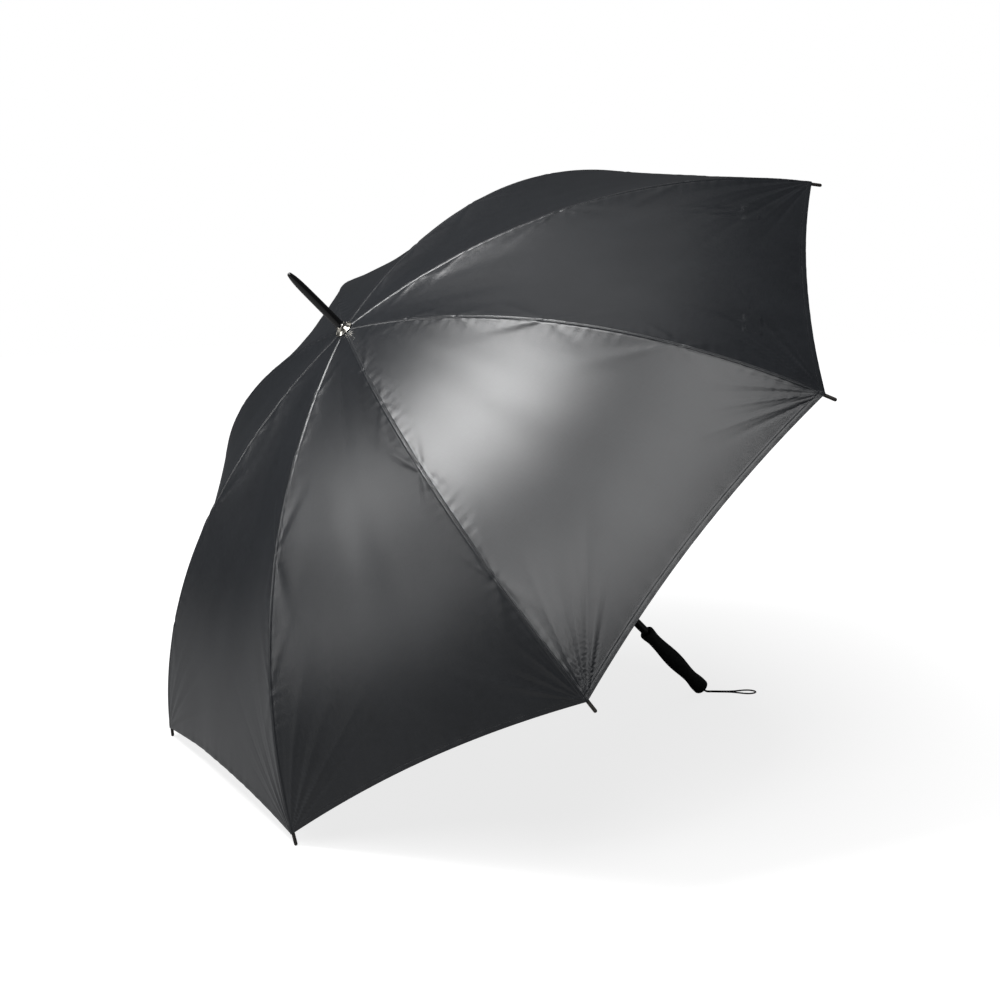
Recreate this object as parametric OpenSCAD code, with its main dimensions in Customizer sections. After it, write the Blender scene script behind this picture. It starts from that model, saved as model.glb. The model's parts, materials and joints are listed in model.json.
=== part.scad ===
/* [Frame] */
// Number of ribs is eight; length of one rib along its curve
rib_len = 750; // [740:1:760]
// Distance along the rib from the notch to the stretcher joint
joint_s = 350; // [345:1:355]
// Slope of the rib below level at the notch, open
slope_hub = 3.5; // [3.2:0.1:3.8]
// Slope of the rib at the stretcher joint, open
slope_joint = 23.8; // [23:0.2:24.6]
// Slope of the rib at its tip, open
slope_tip = 50.8; // [50:0.2:51.6]
// Radius of the wire circle that the rib ends turn on
pivot_r = 12; // [12:0.1:12.2]
// Width of the steel channel of a rib
rib_w = 3.4; // [3.2:0.1:3.6]
// Height of the steel channel of a rib
rib_h = 3.2; // [3:0.1:3.4]

/* [Shaft] */
// Outer diameter of the shaft tube
shaft_d = 14; // [13.8:0.1:14.1]
// Wall thickness of the shaft tube
shaft_wall = 1; // [0.8:0.1:1.2]
// Length from the rib pivots to the end of the handle
shaft_reach = 929; // [925:1:935]
// Height of the ferrule's seat above the rib pivots
ferrule_seat = 13; // [12.5:0.1:13.5]
// Length of the ferrule above its seat
ferrule_len = 112; // [100:1:120]

/* [Grip] */
// Length of the foam grip
grip_len = 165; // [160:1:170]
// Largest radius of the grip
grip_belly_r = 14; // [13:0.1:15]
// Radius of the two necks of the grip
grip_neck_r = 10.8; // [10.4:0.1:11.4]
// Radius of the rim at the top of the grip
grip_rim_r = 12.5; // [12:0.1:13]
// Radius of the flare at the end of the grip
grip_end_r = 13.5; // [13:0.1:14]

/* [Canopy] */
// Distance along the rib to the corner of the cloth
cloth_len = 744; // [735:1:746]
// Depth of the curved hem between two ribs
hem_scallop = 17.5; // [10:0.5:25]
// How far the middle of a panel is drawn inward
panel_sag = 11; // [0:1:14]
// Thickness of the cloth with its seams
cloth_t = 0.8; // [0.6:0.1:1]
// Height of the cloth above the middle of the rib
cloth_lift = 2.7; // [2.6:0.1:3]

/* [Wrist cord] */
// Diameter of the wrist cord
cord_d = 2.6; // [2.4:0.1:2.8]

/* [Hidden] */
$fn = 64;
arc_fn = 720;
eps = 0.01;
run_gap = 0.05;
rib_count = 8;
spoke_step = 360 / rib_count;
first_spoke = spoke_step / 2;

// Circle that each half of a rib follows: [radius, centre r, centre z]
inner_radius = joint_s / ((slope_joint - slope_hub) * PI / 180);
inner_centre = [pivot_r - inner_radius * sin(slope_hub), -inner_radius * cos(slope_hub)];
joint_rz = inner_centre + inner_radius * [sin(slope_joint), cos(slope_joint)];
outer_radius = (rib_len - joint_s) / ((slope_tip - slope_joint) * PI / 180);
outer_centre = joint_rz - outer_radius * [sin(slope_joint), cos(slope_joint)];

// The stretcher is as long as the chord of the inner rib, so the runner stays on the shaft
link_slope = (slope_hub + slope_joint) / 2;
link_len = 2 * inner_radius * sin((slope_joint - slope_hub) / 2);
runner_z = -2 * link_len * sin(link_slope);

// Rib ends, rivets and wire rings
wire_r = 0.6;
eye_r = 1.6;
eye_hole_r = 0.7;
tongue_t = 1.2;
rivet_r = 1;
rivet_hole_r = rivet_r + run_gap;
rivet_reach = 2.9;
head_r = 1.7;
head_t = 0.5;
knuckle_r = 2;
sheet_t = 0.5;
tongue_half = 0.7;
clevis_in = 0.9;
clevis_out = 1.7;
fork_in = 2;
fork_out = 2.8;
fork_eye_r = 1.9;
hub_gap = 8;
joint_gap = 9;
fork_gap = 10;
tip_stud_r = 1.3;
tip_stud_len = 14;

// Caps on the rib tips
cap_r = 2.5;
cap_start = rib_len - 11;
cap_end = rib_len + 11;
cap_slit = 0.8;

// Notch and runner heads
head_disc_r = 15.5;
head_shallow = 1.5;
head_deep = 5.5;
slot_half = 1;
slot_floor_r = 8.8;
shaft_r = shaft_d / 2;
bore_r = shaft_r - shaft_wall;
runner_bore_r = shaft_r + 0.15;
runner_tube_r = 10.2;
runner_skirt = 40;
runner_flare_r = 11.6;

// Spring catch
catch_t = 1.8;
catch_slot_half = 1.1;
catch_rise = 3.4;
catch_len = 15;
catch_leaf = 34;
catch_root = -2.2;
catch_top_z = runner_z - runner_skirt - 0.4;

// Handle
grip_top_z = grip_len - shaft_reach;
grip_fillet = 4;
rim_fillet = 2.5;
plug_r = 9;
plug_t = 11;
plug_edge = 1.5;
tube_end_z = plug_t + 1 - shaft_reach;

// Crown cap and ferrule
crown_rim_r = 14;
crown_collar_r = 8.2;
crown_rim_z = 3.6;
crown_wall = 0.8;
ferrule_foot_r = 7.6;
ferrule_foot = 1.5;
ferrule_base_r = 6.6;
ferrule_straight = 40;
ferrule_taper = 0.45;
ferrule_draft = 0.06;
spigot_r = bore_r - run_gap;
spigot_len = 19;

// Cloth patches
patch_rows = 8;
patch_cols = 4;
cloth_start = -1.5;
cloth_gap = 0.25;
cloth_rise = 0.7;

// The umbrella lies on two rib tips and on the edge of its handle
tip_slope = slope_tip;
tip_dir = [cos(tip_slope), -sin(tip_slope)];
rib_end = outer_centre + outer_radius * [sin(tip_slope), cos(tip_slope)];
cap_ball = rib_end + (cap_end - rib_len - cap_r) * tip_dir;
rest_r = cap_ball[0] * cos(spoke_step / 2) - (grip_end_r - grip_fillet);
rest_z = shaft_reach - grip_fillet + cap_ball[1];
rest_k = (grip_fillet - cap_r) / norm([rest_r, rest_z]);
tilt = acos(rest_k) - atan2(rest_z, rest_r);
hub_z = (shaft_reach - grip_fillet) * sin(tilt) + (grip_end_r - grip_fillet) * cos(tilt) + grip_fillet;
hub_x = -225.8;
outlet = [hub_x + shaft_reach * cos(tilt), 0, hub_z - shaft_reach * sin(tilt)];

// Route of the wrist loop from the end of the handle, out and back:
// [along, across, height], with the loop turned to its heading on the floor
cord_heading = -33;
cord_stem = [
    [1.8, 1.6, 7.4],
    [3.2, 1.6, 5.6],
    [4.8, 1.6, 3.9],
    [7, 1.6, 2.4],
    [10.5, 1.6, 1.4],
    [18, 1.6, 1.4],
    [28, 1.7, 1.4],
    [38, 1.8, 1.4],
    [48, 2.2, 1.4],
    [57, 3.8, 1.4],
    [66, 6.8, 1.4],
    [74, 9, 1.4],
    [82, 9.2, 1.4],
    [88, 6.8, 1.4],
    [91.3, 3.4, 1.4]];
cord_tip = [92.4, 0, 1.4];
cord_sides = 8;

STEEL = [0.16, 0.16, 0.17];
BRIGHT = [0.82, 0.8, 0.74];
PLASTIC = [0.06, 0.06, 0.07];
CLOTH = [0.22, 0.23, 0.25];

// Shapes along the rib, in a plane through the shaft: r outward, z toward the ferrule

function slope_at(s) = s < joint_s
    ? slope_hub + (slope_joint - slope_hub) * s / joint_s
    : slope_joint + (slope_tip - slope_joint) * (s - joint_s) / (rib_len - joint_s);

function rib_at(s) = s < joint_s
    ? inner_centre + inner_radius * [sin(slope_at(s)), cos(slope_at(s))]
    : outer_centre + outer_radius * [sin(slope_at(s)), cos(slope_at(s))];

// Turns the umbrella from shaft-up to the way it lies open on the floor
module laid_down() {
    translate([hub_x, 0, hub_z]) rotate([0, tilt - 90, 0]) children();
}

// Radial plane of one spoke, with +X outward and +Z toward the ferrule
module spoke(i) {
    laid_down() rotate([0, 0, first_spoke + (i - 1) * spoke_step]) children();
}

// A flat shape drawn in r and z, given a thickness across the spoke
module plate(low, high) {
    rotate([90, 0, 0]) translate([0, 0, -high]) linear_extrude(high - low) children();
}

// A matching pair of plates, one each side of the spoke plane
module twin_plates(low, high) {
    plate(low, high) children();
    plate(-high, -low) children();
}

// Bar drawn from a point in r and z, along a slope
module bar_shape(at, slope, from, to, height) {
    translate(at) rotate(-slope) translate([from, -height / 2]) square([to - from, height]);
}

module channel_shape(centre_r) {
    translate([centre_r, 0]) difference() {
        square([rib_h, rib_w], center = true);
        translate([-sheet_t, 0]) square([rib_h, rib_w - 2 * sheet_t], center = true);
    }
}

// Steel channel bent to a circle, open on its underside
module bent_channel(centre, radius, slope_a, slope_b) {
    translate([centre[0], 0, centre[1]]) rotate([90, 0, 0]) rotate(90 - slope_b)
        rotate_extrude(angle = slope_b - slope_a, $fn = arc_fn) channel_shape(radius);
}

module cross_hole(at, r) {
    translate([at[0], 0, at[1]]) rotate([90, 0, 0]) cylinder(r = r, h = 20, center = true);
}

module inner_rib(i) {
    color(STEEL) spoke(i) {
        difference() {
            union() {
                bent_channel(inner_centre, inner_radius, slope_at(hub_gap), slope_at(joint_s - joint_gap));
                plate(-tongue_t / 2, tongue_t / 2) {
                    translate([pivot_r, 0]) circle(eye_r);
                    bar_shape([pivot_r, 0], slope_at(hub_gap / 2), 0, 3 * hub_gap, 2.6);
                }
                plate(-tongue_half, tongue_half) {
                    translate(joint_rz) circle(knuckle_r);
                    bar_shape(joint_rz, slope_joint - 0.4, -2.5 * joint_gap, 0, 2.6);
                }
                rivet();
            }
            cross_hole([pivot_r, 0], eye_hole_r);
        }
    }
}

// Rivet that the rib, its outer half and the stretcher turn on
module rivet() {
    translate([joint_rz[0], 0, joint_rz[1]]) rotate([90, 0, 0]) {
        cylinder(r = rivet_r, h = 2 * rivet_reach + 2 * head_t, center = true);
        for (side = [-1, 1])
            translate([0, 0, side * (rivet_reach + head_t / 2)])
                cylinder(r = head_r, h = head_t, center = true);
    }
}

module outer_rib(i) {
    color(STEEL) spoke(i) {
        difference() {
            union() {
                bent_channel(outer_centre, outer_radius,
                    slope_at(joint_s + joint_gap), slope_at(rib_len - tip_stud_len));
                twin_plates(clevis_in, clevis_out) {
                    translate(joint_rz) circle(knuckle_r + 0.2);
                    bar_shape(joint_rz, slope_joint + 0.6, 0, 1.8 * joint_gap, rib_h);
                }
                translate([rib_end[0], 0, rib_end[1]]) rotate([0, 90 + tip_slope, 0])
                    translate([0, 0, -tip_stud_len - 4]) cylinder(r = tip_stud_r, h = tip_stud_len + 4);
            }
            cross_hole(joint_rz, rivet_hole_r);
        }
    }
}

// Moulded cap on the end of a rib, with the slit that the cloth is sewn to
module rib_tip(i) {
    cap_len = cap_end - cap_start;
    color(PLASTIC) spoke(i)
        translate([rib_end[0], 0, rib_end[1]]) rotate([0, 90 + tip_slope, 0])
            translate([0, 0, cap_start - rib_len]) difference() {
                rotate_extrude() {
                    square([cap_r, cap_len - cap_r]);
                    translate([0, cap_len - cap_r]) intersection() {
                        circle(cap_r);
                        square(cap_r);
                    }
                }
                translate([0, 0, -eps]) cylinder(r = tip_stud_r + run_gap, h = rib_len - cap_start + 0.3);
                translate([-cap_r, 0, cap_len - 6]) cube([2 * cap_r, cap_slit, 4], center = true);
            }
}

// Straight stretcher from the runner to the rivet, forked round the rib
module stretcher(i) {
    color(STEEL) spoke(i)
        translate([pivot_r, 0, runner_z]) rotate([0, -link_slope, 0]) difference() {
            union() {
                plate(-tongue_t / 2, tongue_t / 2) {
                    circle(eye_r);
                    translate([0, -1.3]) square([2 * hub_gap, 2.6]);
                }
                translate([hub_gap, 0, 0]) rotate([90, 0, 90])
                    linear_extrude(link_len - 1.6 * fork_gap - hub_gap) rotate(90) channel_shape(0);
                translate([link_len - 1.8 * fork_gap, -fork_out, -rib_h / 2])
                    cube([0.7 * fork_gap, 2 * fork_out, rib_h]);
                twin_plates(fork_in, fork_out) {
                    translate([link_len, 0]) circle(fork_eye_r);
                    translate([link_len - 1.5 * fork_gap, -rib_h / 2]) square([1.5 * fork_gap, rib_h]);
                }
            }
            rotate([90, 0, 0]) cylinder(r = eye_hole_r, h = 20, center = true);
            translate([link_len, 0, 0]) rotate([90, 0, 0]) cylinder(r = rivet_hole_r, h = 20, center = true);
        }
}

// Cloth: a panel is drawn straight from rib to rib and pulled in toward its middle.
// t runs from the crown to the hem, w from a rib to the middle of the panel.

function cloth_s(t, w) = cloth_start + t * (cloth_len - cloth_start - hem_scallop * 4 * w * (1 - w));
function lift_at(s) = cloth_lift + cloth_rise * min(1, max(0, s) / joint_s);
function cloth_rz(s) = rib_at(s) + lift_at(s) * [sin(slope_at(s)), cos(slope_at(s))];
function panel_normal(s) = [
    sin(slope_at(s)) * cos(spoke_step / 2),
    sin(slope_at(s)) * sin(spoke_step / 2),
    cos(slope_at(s))];
function cloth_point(t, w) = let (
    s = cloth_s(t, w),
    q = cloth_rz(s),
    chord = [q[0] * (1 - w + w * cos(spoke_step)), q[0] * w * sin(spoke_step), q[1]])
    chord - panel_sag * 4 * w * (1 - w) * sin(180 * t) * panel_normal(s);
function side_gap(t) = cloth_gap / (cloth_rz(cloth_s(t, 0))[0] * sin(spoke_step));

// One closed half panel between two places on the rib, on the +Y side of the spoke
module half_panel(t_a, t_b) {
    face = [for (lift = [cloth_t / 2, -cloth_t / 2], j = [0:patch_rows], k = [0:patch_cols]) let (
        t = t_a + (t_b - t_a) * j / patch_rows,
        w = side_gap(t) + (0.5 - 2 * side_gap(t)) * k / patch_cols)
        cloth_point(t, w) + lift * panel_normal(cloth_s(t, w))];
    wide = patch_cols + 1;
    under = wide * (patch_rows + 1);
    function spot(j, k) = j * wide + k;
    rim = concat(
        [for (j = [0:patch_rows - 1]) spot(j, 0)],
        [for (k = [0:patch_cols - 1]) spot(patch_rows, k)],
        [for (j = [patch_rows:-1:1]) spot(j, patch_cols)],
        [for (k = [patch_cols:-1:1]) spot(0, k)]);
    polyhedron(points = face, faces = concat(
        [for (j = [0:patch_rows - 1], k = [0:patch_cols - 1]) [spot(j, k), spot(j, k + 1), spot(j + 1, k)]],
        [for (j = [0:patch_rows - 1], k = [0:patch_cols - 1])
            [spot(j, k + 1), spot(j + 1, k + 1), spot(j + 1, k)]],
        [for (j = [0:patch_rows - 1], k = [0:patch_cols - 1])
            [under + spot(j, k), under + spot(j + 1, k), under + spot(j, k + 1)]],
        [for (j = [0:patch_rows - 1], k = [0:patch_cols - 1])
            [under + spot(j, k + 1), under + spot(j + 1, k), under + spot(j + 1, k + 1)]],
        [for (n = [0:len(rim) - 1]) let (m = (n + 1) % len(rim)) [rim[n], rim[m], under + rim[n]]],
        [for (n = [0:len(rim) - 1]) let (m = (n + 1) % len(rim)) [rim[m], under + rim[m], under + rim[n]]]));
}

module rib_panel(i, t_a, t_b) {
    color(CLOTH) spoke(i) {
        half_panel(t_a, t_b);
        mirror([0, 1, 0]) half_panel(t_a, t_b);
    }
}

joint_t = (joint_s - cloth_start) / (cloth_len - cloth_start);
split_t = cloth_gap / cloth_len;

module canopy_inner(i) {
    rib_panel(i, 0, joint_t - split_t);
}

module canopy_outer(i) {
    rib_panel(i, joint_t + split_t, 1);
}

module catch_slot(face_z) {
    translate([0, -catch_slot_half, face_z - catch_len - 0.4])
        cube([shaft_d, 2 * catch_slot_half, catch_len + 0.8]);
}

module shaft_tube() {
    color(STEEL) laid_down() difference() {
        translate([0, 0, tube_end_z]) cylinder(r = shaft_r, h = ferrule_seat - tube_end_z);
        translate([0, 0, tube_end_z - 1]) cylinder(r = bore_r, h = ferrule_seat - tube_end_z + 2);
        catch_slot(catch_top_z);
    }
}

function ferrule_r(t) = ferrule_base_r
    * (1 - ferrule_draft * t - (ferrule_taper - ferrule_draft) * pow(t, 6));

module ferrule() {
    tip_r = ferrule_r(1);
    taper_len = ferrule_len - ferrule_straight - tip_r;
    steps = 20;
    color(PLASTIC) laid_down() translate([0, 0, ferrule_seat]) {
        translate([0, 0, -spigot_len]) cylinder(r = spigot_r, h = spigot_len + 1);
        cylinder(r1 = ferrule_foot_r, r2 = ferrule_base_r, h = ferrule_foot);
        cylinder(r = ferrule_base_r, h = ferrule_straight);
        translate([0, 0, ferrule_straight]) rotate_extrude() polygon(concat(
            [[0, 0]],
            [for (n = [0:steps]) [ferrule_r(n / steps), taper_len * n / steps]],
            [for (n = [1:8]) [tip_r * cos(90 * n / 8), taper_len + tip_r * sin(90 * n / 8)]]));
    }
}

// Bell-shaped metal cap that holds the middle of the cloth down
module crown_cap() {
    rise = ferrule_seat - crown_rim_z;
    steps = 12;
    flare = crown_rim_r - crown_collar_r;
    outside = [for (n = [0:steps])
        [crown_collar_r + flare * pow(1 - n / steps, 2.2), crown_rim_z + rise * n / steps]];
    inside = [for (n = [steps:-1:0])
        [crown_collar_r - crown_wall + flare * pow(1 - n / steps, 2.2),
            crown_rim_z + (rise - crown_wall) * n / steps]];
    color(BRIGHT) laid_down() difference() {
        union() {
            rotate_extrude() polygon(concat(outside, [[shaft_r, ferrule_seat]],
                [[shaft_r, ferrule_seat - crown_wall]], inside));
            translate([0, 0, crown_rim_z]) rotate_extrude() translate([crown_rim_r - 0.2, 0.35]) circle(0.6);
        }
        translate([0, 0, -1]) cylinder(r = shaft_r + run_gap, h = ferrule_seat + 2);
    }
}

// Slotted disc with the wire groove, open on the side that its arms fold to
module slotted_disc(inside_r) {
    difference() {
        translate([0, 0, -head_deep]) cylinder(r = head_disc_r, h = head_deep + head_shallow);
        translate([0, 0, -head_deep - 1]) cylinder(r = inside_r, h = head_deep + head_shallow + 2);
        for (i = [1:rib_count])
            rotate(first_spoke + (i - 1) * spoke_step)
                translate([slot_floor_r, -slot_half, -head_deep - 1])
                    cube([head_disc_r, 2 * slot_half, head_deep + head_shallow + 2]);
        rotate_extrude() translate([pivot_r, 0]) circle(wire_r + run_gap);
    }
}

module wire_ring() {
    rotate_extrude() translate([pivot_r, 0]) circle(wire_r);
}

module top_notch() {
    color(PLASTIC) laid_down() slotted_disc(shaft_r + run_gap);
}

module notch_ring() {
    color(BRIGHT) laid_down() wire_ring();
}

module runner() {
    color(PLASTIC) laid_down() translate([0, 0, runner_z]) {
        mirror([0, 0, 1]) slotted_disc(runner_bore_r);
        difference() {
            union() {
                translate([0, 0, -runner_skirt]) cylinder(r = runner_tube_r, h = runner_skirt - head_shallow + 0.5);
                translate([0, 0, -runner_skirt]) cylinder(r = runner_flare_r, h = 4);
                translate([0, 0, 4 - runner_skirt])
                    cylinder(r1 = runner_flare_r, r2 = runner_tube_r, h = 3);
            }
            translate([0, 0, -runner_skirt - 1]) cylinder(r = runner_bore_r, h = runner_skirt + 4);
        }
    }
}

module runner_ring() {
    color(BRIGHT) laid_down() translate([0, 0, runner_z]) wire_ring();
}

// Sprung catch: its nose stands out of the shaft, with one square face and one ramp
module catch_plate() {
    plate(-catch_t / 2, catch_t / 2) polygon([
        [catch_root, 0],
        [shaft_r + catch_rise, 0],
        [shaft_r + catch_rise, -2],
        [shaft_r, -catch_len],
        [catch_root, -catch_len]]);
    plate(-catch_t / 2, catch_t / 2) translate([catch_root, -catch_leaf]) square([1.2, catch_leaf]);
}

module top_catch() {
    color(BRIGHT) laid_down() translate([0, 0, catch_top_z]) catch_plate();
}

// Outline of the grip: rim, neck, belly, neck and flare joined by smooth waves
grip_stations = [
    [0, grip_rim_r],
    [0.13, grip_neck_r],
    [0.5, grip_belly_r],
    [0.8, grip_neck_r + 0.4],
    [0.95, grip_end_r],
    [1, grip_end_r]];
function wave(a, b, f) = a + (b - a) * (1 - cos(180 * f)) / 2;

module grip() {
    steps = 8;
    span = grip_len - rim_fillet - grip_fillet;
    waves = [for (n = [0:len(grip_stations) - 2], k = [0:steps - 1]) let (
        a = grip_stations[n],
        b = grip_stations[n + 1])
        [wave(a[1], b[1], k / steps), -rim_fillet - span * (a[0] + (b[0] - a[0]) * k / steps)]];
    rim = [for (n = [0:5]) [
        grip_rim_r - rim_fillet + rim_fillet * sin(15 * n), rim_fillet * (cos(15 * n) - 1)]];
    foot = [for (n = [0:6]) [
        grip_end_r - grip_fillet * (1 - cos(15 * n)), grip_fillet * (1 - sin(15 * n)) - grip_len]];
    color(PLASTIC) laid_down() translate([0, 0, grip_top_z]) difference() {
        rotate_extrude() polygon(concat([[0, 0]], rim, waves, foot, [[0, -grip_len]]));
        translate([0, 0, -grip_len - 1]) cylinder(r = shaft_r + run_gap, h = grip_len + 2);
        translate([0, 0, -grip_len - 1]) cylinder(r = plug_r + run_gap, h = plug_t + 1.2);
    }
}

// Plug in the end of the handle, with a shallow ring and the seat of the wrist loop
module end_plug() {
    color(PLASTIC) laid_down() translate([0, 0, -shaft_reach]) difference() {
        union() {
            cylinder(r = plug_r, h = plug_t);
            cylinder(r = spigot_r, h = plug_t + 12);
        }
        translate([0, 0, -eps]) difference() {
            cylinder(r = plug_r - plug_edge, h = 0.4);
            translate([0, 0, -1]) cylinder(r = plug_r - plug_edge - 0.8, h = 2);
        }
    }
}

// Route of the wrist loop in the object's frame
function turned(p, side) = [
    outlet[0] + p[0] * cos(cord_heading) - side * p[1] * sin(cord_heading),
    p[0] * sin(cord_heading) + side * p[1] * cos(cord_heading),
    p[2]];
cord_route = concat(
    [for (p = cord_stem) turned(p, -1)],
    [turned(cord_tip, 1)],
    [for (n = [len(cord_stem) - 1:-1:0]) turned(cord_stem[n], 1)]);

function smooth(a, b, c, d, f) = 0.5 * (2 * b + (c - a) * f + (2 * a - 5 * b + 4 * c - d) * f * f
    + (3 * b - a - 3 * c + d) * f * f * f);

module wrist_cord() {
    last = len(cord_route) - 1;
    centre = concat([for (n = [0:last - 1], f = [0, 0.5]) smooth(
        cord_route[max(n - 1, 0)], cord_route[n], cord_route[n + 1], cord_route[min(n + 2, last)], f)],
        [cord_route[last]]);
    end = len(centre) - 1;
    skin = [for (n = [0:end]) let (
        ahead = centre[min(n + 1, end)] - centre[max(n - 1, 0)],
        along = ahead / norm(ahead),
        flat = cross([0, 0, 1], along),
        side = flat / norm(flat),
        lift = cross(along, side))
        for (k = [0:cord_sides - 1])
            centre[n] + cord_d / 2 * (cos(360 * k / cord_sides) * side + sin(360 * k / cord_sides) * lift)];
    color(PLASTIC) polyhedron(points = skin, faces = concat(
        [[for (k = [0:cord_sides - 1]) k]],
        [for (n = [0:end - 1], k = [0:cord_sides - 1]) let (
            a = n * cord_sides + k,
            b = n * cord_sides + (k + 1) % cord_sides)
            [a, a + cord_sides, b + cord_sides, b]],
        [[for (k = [cord_sides - 1:-1:0]) end * cord_sides + k]]));
}

for (i = [1:rib_count]) {
    inner_rib(i);
    outer_rib(i);
    rib_tip(i);
    stretcher(i);
    canopy_inner(i);
    canopy_outer(i);
}
shaft_tube();
ferrule();
crown_cap();
top_notch();
notch_ring();
grip();
end_plug();
wrist_cord();
top_catch();
runner();
runner_ring();
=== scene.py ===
import json
import math

import bpy
import numpy as np
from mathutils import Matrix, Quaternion, Vector


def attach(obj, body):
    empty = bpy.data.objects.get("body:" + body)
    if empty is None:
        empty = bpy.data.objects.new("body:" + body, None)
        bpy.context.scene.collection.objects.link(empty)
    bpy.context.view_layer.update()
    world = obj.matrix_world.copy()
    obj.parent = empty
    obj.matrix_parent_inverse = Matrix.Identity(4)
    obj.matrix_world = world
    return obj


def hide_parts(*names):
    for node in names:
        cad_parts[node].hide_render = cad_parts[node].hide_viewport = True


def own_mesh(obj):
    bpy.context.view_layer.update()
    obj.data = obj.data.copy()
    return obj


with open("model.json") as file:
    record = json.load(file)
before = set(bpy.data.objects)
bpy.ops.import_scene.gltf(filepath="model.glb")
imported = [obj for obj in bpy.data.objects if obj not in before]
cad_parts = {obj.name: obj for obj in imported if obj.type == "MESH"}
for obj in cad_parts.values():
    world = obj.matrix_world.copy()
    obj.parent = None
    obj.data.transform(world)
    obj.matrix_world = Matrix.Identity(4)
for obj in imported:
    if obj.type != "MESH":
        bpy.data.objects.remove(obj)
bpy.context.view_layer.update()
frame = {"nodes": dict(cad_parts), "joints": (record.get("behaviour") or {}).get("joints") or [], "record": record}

RIBS = 8
MM = 0.001
rng = np.random.default_rng(11)

# Driving sizes, the same as in the CAD, in metres and radians
RIB_LEN = 0.750
JOINT_S = 0.350
SLOPE_HUB, SLOPE_JOINT, SLOPE_TIP = (math.radians(a) for a in (3.5, 23.8, 50.8))
PIVOT_R = 0.012
CLOTH_START, CLOTH_END = -0.0015, 0.744
HEM_SCALLOP = 0.0175
PANEL_SAG = 0.011
CLOTH_LIFT, CLOTH_RISE = 0.0027, 0.0007
SHAFT_REACH = 0.929
FERRULE_SEAT = 0.013
FERRULE_LEN = 0.112
GRIP_LEN = 0.165

# The umbrella's own directions, from the joints of the frame
joints = {j["name"]: j for j in frame["joints"]}
pivots = np.array([joints[f"rib_{i}_fold"]["pos_m"] for i in range(1, RIBS + 1)])
tangents = np.array([joints[f"rib_{i}_fold"]["axis"] for i in range(1, RIBS + 1)])
tangents /= np.linalg.norm(tangents, axis=1)[:, None]
hub = pivots.mean(0)
up = np.cross(pivots - hub, tangents).sum(0)
up /= np.linalg.norm(up)
radials = np.cross(tangents, up)
side_x = np.array([up[2], 0, -up[0]])
side_y = np.cross(up, side_x)


def link(obj):
    bpy.context.scene.collection.objects.link(obj)
    return obj


def mesh_piece(name, points, faces, material, normals=None, uvs=None):
    mesh = bpy.data.meshes.new(name)
    mesh.from_pydata(np.asarray(points, float).tolist(), [], [list(map(int, f)) for f in faces])
    mesh.materials.append(material)
    mesh.polygons.foreach_set("use_smooth", [True] * len(mesh.polygons))
    if uvs is not None:
        layer = mesh.uv_layers.new(name="weave")
        layer.data.foreach_set("uv", np.asarray(uvs, np.float32).ravel())
    if normals is not None:
        mesh.normals_split_custom_set_from_vertices(np.asarray(normals, float).tolist())
    mesh.update()
    return link(bpy.data.objects.new(name, mesh))


# ---------------------------------------------------------------- materials

def shader(name, base, roughness, metallic=0.0, specular=0.5, sheen=0.0, coat=0.0):
    material = bpy.data.materials.new(name)
    material.use_nodes = True
    bsdf = material.node_tree.nodes["Principled BSDF"]
    bsdf.inputs["Base Color"].default_value = (*base, 1)
    bsdf.inputs["Roughness"].default_value = roughness
    bsdf.inputs["Metallic"].default_value = metallic
    bsdf.inputs["Specular IOR Level"].default_value = specular
    bsdf.inputs["Sheen Weight"].default_value = sheen
    bsdf.inputs["Coat Weight"].default_value = coat
    return material, bsdf


def node(material, kind, **inputs):
    made = material.node_tree.nodes.new(kind)
    for key, value in inputs.items():
        made.inputs[key.replace("_", " ")].default_value = value
    return made


def wire(material, a, b):
    material.node_tree.links.new(a, b)


def stretched(material, source, scale):
    mapping = node(material, "ShaderNodeMapping")
    mapping.inputs["Scale"].default_value = scale
    wire(material, source, mapping.inputs["Vector"])
    return mapping.outputs["Vector"]


def noise(material, vector, scale, detail=3.0, rough=0.5):
    made = node(material, "ShaderNodeTexNoise", Scale=scale, Detail=detail, Roughness=rough)
    wire(material, vector, made.inputs["Vector"])
    return made.outputs["Fac"]


def ramp(material, factor, dark, light, low=0.3, high=0.7):
    made = node(material, "ShaderNodeValToRGB")
    made.color_ramp.elements[0].position = low
    made.color_ramp.elements[1].position = high
    made.color_ramp.elements[0].color = (*dark, 1)
    made.color_ramp.elements[1].color = (*light, 1)
    wire(material, factor, made.inputs["Fac"])
    return made.outputs["Color"]


def spread(material, factor, low, high, start=0.3, end=0.7):
    made = node(material, "ShaderNodeMapRange", From_Min=start, From_Max=end, To_Min=low, To_Max=high)
    wire(material, factor, made.inputs["Value"])
    return made.outputs["Result"]


def bump(material, height, distance, strength, before=None):
    made = node(material, "ShaderNodeBump", Strength=strength, Distance=distance)
    wire(material, height, made.inputs["Height"])
    if before is not None:
        wire(material, before, made.inputs["Normal"])
    return made.outputs["Normal"]


def moulded(name, dark, light, roughness, grain, depth, metallic=0.0, specular=0.5, coat=0.0,
            along=(1, 1, 1), strength=0.5):
    """Plastic, foam or metal: mottled colour, uneven gloss and a fine grain."""
    material, bsdf = shader(name, light, roughness[0], metallic, specular, 0.0, coat)
    where = node(material, "ShaderNodeTexCoord").outputs["Object"]
    where = stretched(material, where, along)
    broad = noise(material, where, grain * 0.12, 4)
    fine = noise(material, where, grain, 3, 0.6)
    wire(material, ramp(material, broad, dark, light), bsdf.inputs["Base Color"])
    wire(material, spread(material, broad, *roughness), bsdf.inputs["Roughness"])
    wire(material, bump(material, fine, depth, strength), bsdf.inputs["Normal"])
    return material


CLOTH_DARK = (0.0075, 0.0084, 0.0100)
CLOTH_LIGHT = (0.0160, 0.0176, 0.0205)


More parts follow.
